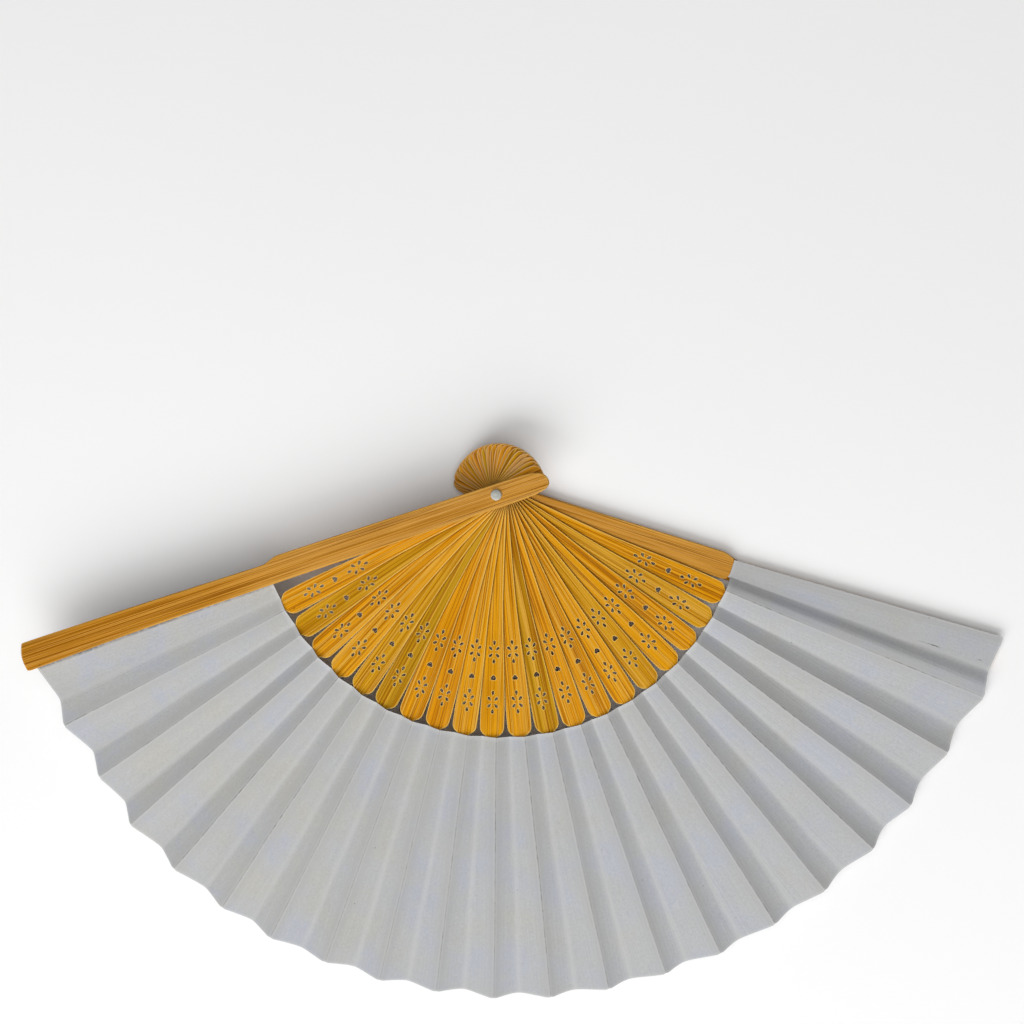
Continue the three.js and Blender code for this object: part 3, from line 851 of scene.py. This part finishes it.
def guard_piece(front):
    loop = GUARD_LEAF_SIDE + GUARD_OUTER_SIDE
    if not front:
        loop = [(x - REAR_SHORTER if x > 150 else x + REAR_TAIL_SHORTER if x < -16 else x, -y) for x, y in loop]
    loop = np.array(spread(chaikin(loop, 3), 3.0))
    if not front:
        loop = finer(loop, END_X, END_X + END_R + 0.6, 0.35)
    z0 = FRONT_Z if front else REAR_Z

    def cut(x, y):
        if front:
            return RELIEF * smooth((x - (RELIEF_R - 0.4)) / 0.8)
        return RELIEF * smooth((past_end(x, y) + 0.15) / 0.3)

    def top(x, y):
        if front:
            return z0 + GUARD_T - 0.10 * (np.abs(y) / 4.6) ** 2.5
        return z0 + GUARD_T - cut(x, y)

    def bottom(x, y):
        return z0 + (cut(x, y) if front else 0 * x) + 0 * y

    stations = [86.9, 87.2, 87.5, 87.8, 88.1, 90.0] if front else [85.6]
    fill = [(x, y) for x in np.concatenate([np.arange(-18, 85, 2.0), stations, np.arange(92, 190, 2.0)])
            for y in (-4.2, -3.2, -2.1, -1.0, 0.0, 1.0, 2.1, 3.2, 4.2)]
    if not front:
        for off in (-1.2, -0.4, -0.17, -0.06, 0.06, 0.17, 0.4, 1.0):
            fill += [(END_X + END_R + off, y) for y in np.linspace(-END_Y, END_Y, 7)]
            fill += [(END_X + (END_R + off) * math.cos(a), side * (END_Y + (END_R + off) * math.sin(a)))
                     for a in np.radians(np.arange(9, 91, 9)) for side in (-1, 1)]
    v, f, n, edge = plate(loop, [circle(BORE_R, 40)], 0.42, 4, 0.25, top, bottom, fill)
    count = len(v)
    # painted shade darkens the rear guard where its plate steps down to the leaf
    shaded_recess = (past_end(v[:, 0], v[:, 1]) > 0.1) & (v[:, 0] < 92.5) & (v[:, 2] > z0 + 0.05) & (not front)
    attributes = {
        "grain": (v - np.array([0, 0, z0])) * MM,
        "seed": np.tile([rng.uniform(0, 90), rng.uniform(0, 90), rng.uniform(0, 90)], (count, 1)),
        "tone": np.interp(v[:, 0], [-20, 80, 110], [0.06, 0.055, -0.06]),
        "olive": np.full(count, 0.0),
        "edge": np.where(shaded_recess, 0.0, edge * 0.25),
        "lap": np.full(count, 9.0) if front else np.where(shaded_recess, 0.0, lap_of(v)),
    }
    k = RIBS + 1 if front else 0
    ob = mesh_object("bamboo_guard_front" if front else "bamboo_guard_rear", turn_z(v, stick_deg(k)), f, GUARD_BAMBOO,
                     turn_z(n, stick_deg(k)), attributes)
    name = "front_guard" if front else "rear_guard"
    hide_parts(name)
    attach(ob, name)
    return ob


# ---- rivet ------------------------------------------------------------------------------------
def turned(name, profile, segments, material):
    verts, faces, rings = [], [], []
    for r, z in profile:
        if r < 1e-6:
            rings.append([len(verts)])
            verts.append((0, 0, z))
        else:
            rings.append(list(range(len(verts), len(verts) + segments)))
            verts += [(r * math.cos(2 * math.pi * i / segments), r * math.sin(2 * math.pi * i / segments), z) for i in range(segments)]
    for a, b in zip(rings, rings[1:]):
        for i in range(segments):
            j = (i + 1) % segments
            if len(a) == 1:
                faces.append((a[0], b[j], b[i]))
            elif len(b) == 1:
                faces.append((a[i], a[j], b[0]))
            else:
                faces.append((a[i], a[j], b[j], b[i]))
    ob = mesh_object(name, np.array(verts, float), faces, material, None, None)
    ob.data.set_sharp_from_angle(angle=math.radians(38))
    return ob


def rivet():
    z = FRONT_Z + GUARD_T + 0.02
    dome = [(HEAD_R * math.cos(math.radians(d)), z + 0.3 + (DOME_H - 0.3) * math.sin(math.radians(d))) for d in (0, 12, 24, 36, 48, 60, 70, 78, 84)]
    pin = [(0, HEAD_H - 0.35), (PIN_R - 0.08, HEAD_H - 0.35), (PIN_R, HEAD_H - 0.27), (PIN_R, z), (HEAD_R - 0.06, z), (HEAD_R, z + 0.08)] + dome + [(0, z + DOME_H)]
    head = turned("rivet_head_and_shank", pin, 64, RIVET)
    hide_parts("rivet_pin")
    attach(head, "rear_guard")
    top, seat = HEAD_H - 0.02, HEAD_H - 0.4
    under = [(0, 0), (FLAT_R, 0), (FLAT_R + 0.22, 0.05), (HEAD_R * 0.9, 0.22), (HEAD_R * 0.975, 0.42), (HEAD_R, 0.6), (HEAD_R, top - 0.05), (HEAD_R - 0.05, top),
             (PIN_R + 0.06, top), (PIN_R + 0.06, seat), (0, seat)]
    cap = turned("rivet_back_cap", under, 64, RIVET)
    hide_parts("rivet_rear_cap")
    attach(cap, "rear_guard")


guard_piece(False)
for k in range(1, RIBS + 1):
    rib_piece(k)
guard_piece(True)
rivet()
for k in range(0, RIBS + 2):
    leaf_piece(k)


# ---- floor, light and camera ------------------------------------------------------------------
def floor():
    me = bpy.data.meshes.new("floor")
    rim = [(7.0 * math.cos(math.radians(a)), 7.0 * math.sin(math.radians(a)), 0) for a in range(0, 360, 3)]
    me.from_pydata(rim, [], [tuple(range(len(rim)))])
    g = Graph("floor")
    at = g.node("ShaderNodeTexCoord").outputs["Object"]
    g.put(g.shader.inputs["Base Color"], g.ramp(g.noise(at, 3.0, 3.0, 0.5), [(0.3, (0.94, 0.94, 0.938)), (0.7, (0.96, 0.96, 0.958))]))
    g.shader.inputs["Roughness"].default_value = 0.85
    g.shader.inputs["Specular IOR Level"].default_value = 0.1
    # stays pale beyond the reach of the lamps
    far = g.node("ShaderNodeVectorMath", operation="LENGTH")
    g.put(far.inputs[0], at)
    g.put(g.shader.inputs["Emission Strength"], g.span(far.outputs["Value"], 0.9, 3.0, 0.0, 0.5))
    g.shader.inputs["Emission Color"].default_value = (1, 1, 1, 1)
    g.mat.cycles.emission_sampling = "NONE"
    me.materials.append(g.mat)
    ob = bpy.data.objects.new("floor", me)
    ob.location.z = -0.00005
    bpy.context.scene.collection.objects.link(ob)


floor()


def area_light(name, at, to, size, energy, colour=(1, 1, 1)):
    data = bpy.data.lights.new(name, "AREA")
    data.shape = "RECTANGLE"
    data.size, data.size_y = size
    data.energy = energy
    data.color = colour
    ob = bpy.data.objects.new(name, data)
    ob.location = at
    ob.rotation_euler = (Vector(to) - Vector(at)).to_track_quat("-Z", "Y").to_euler()
    bpy.context.scene.collection.objects.link(ob)


# A large soft light from the leaf's side, low enough to model the pleats, and a wide soft one overhead.
KEY_AZ, KEY_EL, KEY_D = math.radians(256), math.radians(36), 1.8
middle = Vector((0.0, -0.09, 0.01))
key_at = middle + KEY_D * Vector((math.cos(KEY_AZ) * math.cos(KEY_EL), math.sin(KEY_AZ) * math.cos(KEY_EL), math.sin(KEY_EL)))
area_light("key", key_at, middle, (2.2, 1.3), 39.5)
area_light("overhead", (0.0, -0.05, 1.7), (0.0, -0.05, 0.0), (2.0, 2.0), 17.5)

world = bpy.data.worlds.new("studio")
world.use_nodes = True
# pale at the horizon, dim overhead
sky = world.node_tree
way = sky.nodes.new("ShaderNodeTexCoord").outputs["Generated"]
height = sky.nodes.new("ShaderNodeSeparateXYZ")
sky.links.new(way, height.inputs[0])
shade = sky.nodes.new("ShaderNodeValToRGB")
shade.color_ramp.elements[0].position, shade.color_ramp.elements[0].color = 0.02, (0.24, 0.24, 0.24, 1)
shade.color_ramp.elements[1].position, shade.color_ramp.elements[1].color = 0.42, (0.03, 0.03, 0.03, 1)
middle_stop = shade.color_ramp.elements.new(0.16)
middle_stop.color = (0.16, 0.16, 0.16, 1)
sky.links.new(height.outputs[2], shade.inputs[0])
sky.links.new(shade.outputs[0], sky.nodes["Background"].inputs[0])
sky.nodes["Background"].inputs[1].default_value = 1.0
scene = bpy.context.scene
scene.world = world
scene.view_settings.view_transform = "Standard"
scene.view_settings.look = "None"

# The camera looks at the fan almost from straight above, a little from the right and from behind the rivet.
CAM_D, CAM_WIDTH = 0.600, 0.3756
CAM_X, CAM_Y, CAM_ROLL = math.radians(6.63), math.radians(2.713), math.radians(0.113)
aim = Vector((0.004833, -0.006546, 0.010))
back = Vector((math.sin(CAM_X), math.sin(CAM_Y), 0))
back.z = math.sqrt(1 - back.x ** 2 - back.y ** 2)
right = Vector((math.sin(CAM_ROLL), math.cos(CAM_ROLL), 0)).cross(back).normalized()
place = Matrix((right, back.cross(right), back)).transposed().to_4x4()
place.translation = aim + CAM_D * back
cam = bpy.data.cameras.new("camera")
cam.sensor_width = 36.0
cam.lens = 36.0 * CAM_D / CAM_WIDTH
cam_ob = bpy.data.objects.new("camera", cam)
cam_ob.matrix_world = place
scene.collection.objects.link(cam_ob)
scene.camera = cam_ob
